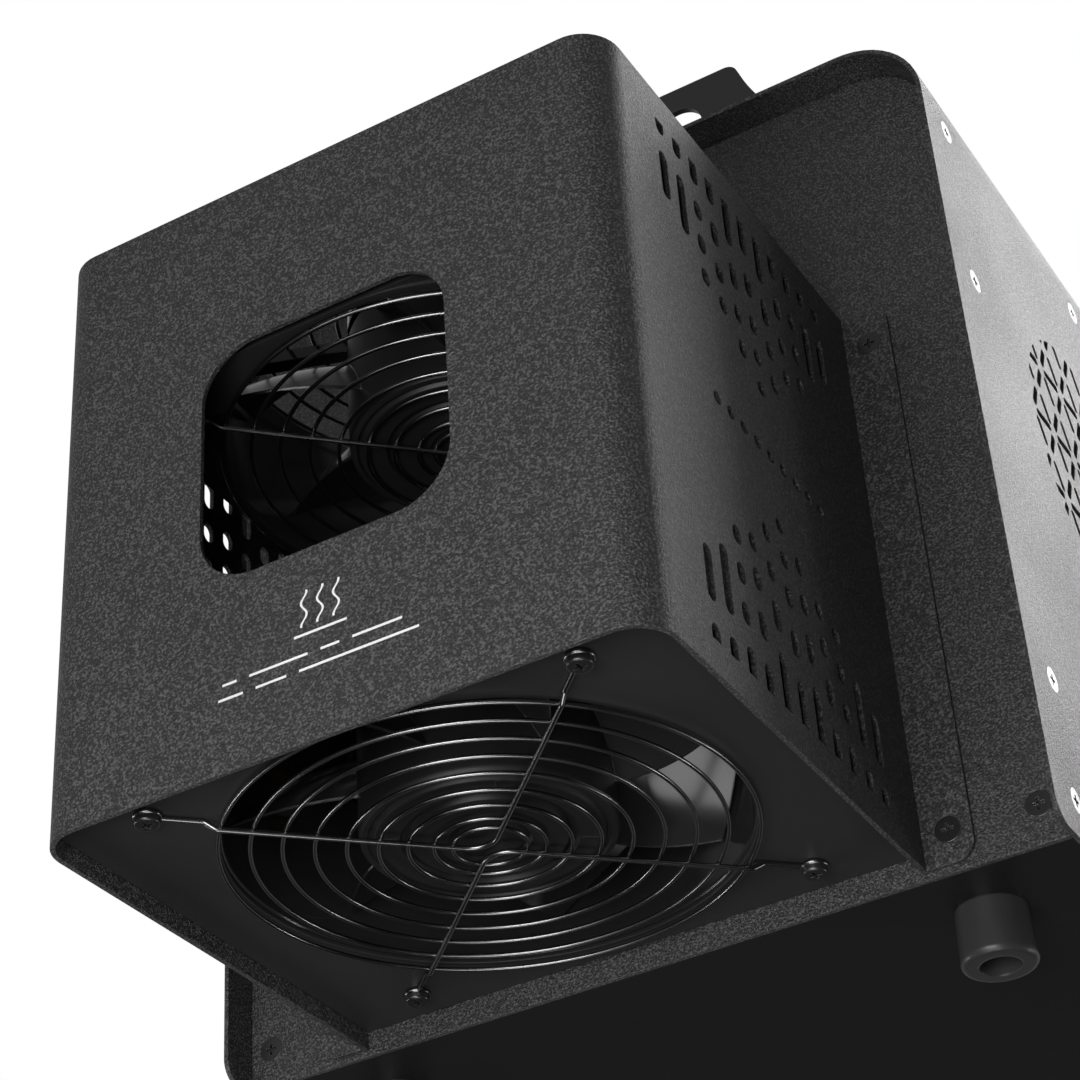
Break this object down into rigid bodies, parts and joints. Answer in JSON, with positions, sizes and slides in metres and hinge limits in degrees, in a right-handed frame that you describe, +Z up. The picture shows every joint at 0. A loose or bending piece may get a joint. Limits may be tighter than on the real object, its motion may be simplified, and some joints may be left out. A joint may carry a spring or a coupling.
{
  "type": "fog machine",
  "caption": "Stage fog machine with a folded steel casing and a front hood in which two axial fans spread the fog.",
  "frame": {"origin": "on the floor under the middle of the machine, midway between the hood face and the rear edge of the cover", "axes": "+X across the machine to the right as seen facing its rear controls from the hood, +Y from the hood to the rear, +Z up"},
  "size_m": [0.219, 0.5168, 0.288],
  "materials": {
    "casing_powder_coat": "fine textured powder coat",
    "fan_plate_paint": "smooth satin paint",
    "bracket_paint": "satin powder coat",
    "black_screws": "black oxide",
    "zinc_steel": "zinc plated",
    "foot_plastic": "gloss",
    "fan_plastic": "gloss",
    "guard_wire": "gloss enamel",
    "handle_steel": "satin paint",
    "brass": "machined brass",
    "cast_aluminium": "cast",
    "insulation_wool": "glass wool mat",
    "thermostat_ceramic": "ceramic",
    "pump_plastic": "moulded",
    "clear_hose": "translucent silicone",
    "tank_plastic": "natural polyethylene",
    "cap_plastic": "ribbed",
    "filter_plastic": "moulded",
    "board_laminate": "solder mask",
    "display_plastic": "gloss",
    "button_plastic": "satin",
    "socket_metal": "satin",
    "inlet_plastic": "moulded",
    "rocker_plastic": "gloss",
    "lead_rubber": "matt"
  },
  "bodies": {
    "chassis": {"body_cover": "casing_powder_coat", "front_panel": "casing_powder_coat", "rear_panel": "casing_powder_coat", "hood_shell": "casing_powder_coat", "hood_bottom_plate": "fan_plate_paint", "hood_top_plate": "fan_plate_paint", "base_tray": "fan_plate_paint", "front_hanging_bracket": "bracket_paint", "rear_hanging_bracket": "bracket_paint", "lid_hinge": "bracket_paint", "casing_screws": "black_screws", "hood_screws": "black_screws", "fan_screws": "black_screws", "bracket_screws": "black_screws", "foot_screws": "zinc_steel", "top_rails": "zinc_steel", "heater_case": "zinc_steel", "heater_stands": "zinc_steel", "tank_cradle": "zinc_steel", "pump_bracket": "zinc_steel", "board_standoffs": "zinc_steel", "feet": "foot_plastic", "lower_fan_frame": "fan_plastic", "upper_fan_frame": "fan_plastic", "cooling_fan_frame": "fan_plastic", "lower_fan_guard": "guard_wire", "upper_fan_guard": "guard_wire", "top_guard": "guard_wire", "handle_blocks": "handle_steel", "nozzle": "brass", "nozzle_nut": "brass", "heater_block": "cast_aluminium", "heater_insulation": "insulation_wool", "thermostat": "thermostat_ceramic", "pump": "pump_plastic", "pressure_hose": "clear_hose", "suction_hose": "clear_hose", "fluid_tank": "tank_plastic", "pickup_filter": "filter_plastic", "power_board": "board_laminate", "control_board": "board_laminate", "display_module": "display_plastic", "dmx_input": "socket_metal", "dmx_output": "socket_metal", "power_inlet": "inlet_plastic", "switch_body": "inlet_plastic", "fuse_holder": "inlet_plastic", "fan_leads": "lead_rubber"},
    "carry_handle": {"carry_handle": "handle_steel"},
    "cooling_fan_rotor": {"cooling_fan_rotor": "fan_plastic"},
    "fuse_cap": {"fuse_cap": "inlet_plastic"},
    "lower_fan_rotor": {"lower_fan_rotor": "fan_plastic"},
    "menu_button_1": {"menu_button_1": "button_plastic"},
    "menu_button_2": {"menu_button_2": "button_plastic"},
    "menu_button_3": {"menu_button_3": "button_plastic"},
    "menu_button_4": {"menu_button_4": "button_plastic"},
    "switch_rocker": {"switch_rocker": "rocker_plastic"},
    "tank_cap": {"tank_cap": "cap_plastic"},
    "tank_lid": {"tank_lid": "casing_powder_coat"},
    "upper_fan_rotor": {"upper_fan_rotor": "fan_plastic"}
  },
  "joints": [
    {"name": "lower_fan_spin", "type": "hinge", "parent": "chassis", "child": "lower_fan_rotor", "pos_m": [0, -0.19515, 0.04], "axis": [0, 0, 1], "continuous": true},
    {"name": "upper_fan_spin", "type": "hinge", "parent": "chassis", "child": "upper_fan_rotor", "pos_m": [0, -0.19515, 0.146], "axis": [0, 0, 1], "continuous": true},
    {"name": "cooling_fan_spin", "type": "hinge", "parent": "chassis", "child": "cooling_fan_rotor", "pos_m": [0.095, -0.05515, 0.154], "axis": [1, 0, 0], "continuous": true},
    {"name": "tank_cap_turn", "type": "hinge", "parent": "chassis", "child": "tank_cap", "pos_m": [0, 0.16535, 0.199], "axis": [0, 0, 1], "continuous": true},
    {"name": "tank_lid_open", "type": "hinge", "parent": "chassis", "child": "tank_lid", "pos_m": [0, 0.20235, 0.2559], "axis": [-1, 0, 0], "range_deg": [0, 100]},
    {"name": "carry_handle_lift", "type": "hinge", "parent": "chassis", "child": "carry_handle", "pos_m": [0, 0.00835, 0.2607], "axis": [1, 0, 0], "range_deg": [0, 95]},
    {"name": "menu_button_1_press", "type": "slide", "parent": "chassis", "child": "menu_button_1", "axis": [0, -1, 0], "range_m": [0, 0.001], "stiffness_N_per_m": 300, "springref_m": -0.0004},
    {"name": "menu_button_2_press", "type": "slide", "parent": "chassis", "child": "menu_button_2", "axis": [0, -1, 0], "range_m": [0, 0.001], "stiffness_N_per_m": 300, "springref_m": -0.0004},
    {"name": "menu_button_3_press", "type": "slide", "parent": "chassis", "child": "menu_button_3", "axis": [0, -1, 0], "range_m": [0, 0.001], "stiffness_N_per_m": 300, "springref_m": -0.0004},
    {"name": "menu_button_4_press", "type": "slide", "parent": "chassis", "child": "menu_button_4", "axis": [0, -1, 0], "range_m": [0, 0.001], "stiffness_N_per_m": 300, "springref_m": -0.0004},
    {"name": "switch_rocker_tilt", "type": "hinge", "parent": "chassis", "child": "switch_rocker", "pos_m": [0.062, 0.24435, 0.08], "axis": [1, 0, 0], "range_deg": [-14, 0]},
    {"name": "fuse_cap_turn", "type": "hinge", "parent": "chassis", "child": "fuse_cap", "pos_m": [0.022, 0.24335, 0.08], "axis": [0, 1, 0], "range_deg": [0, 90]}
  ]
}
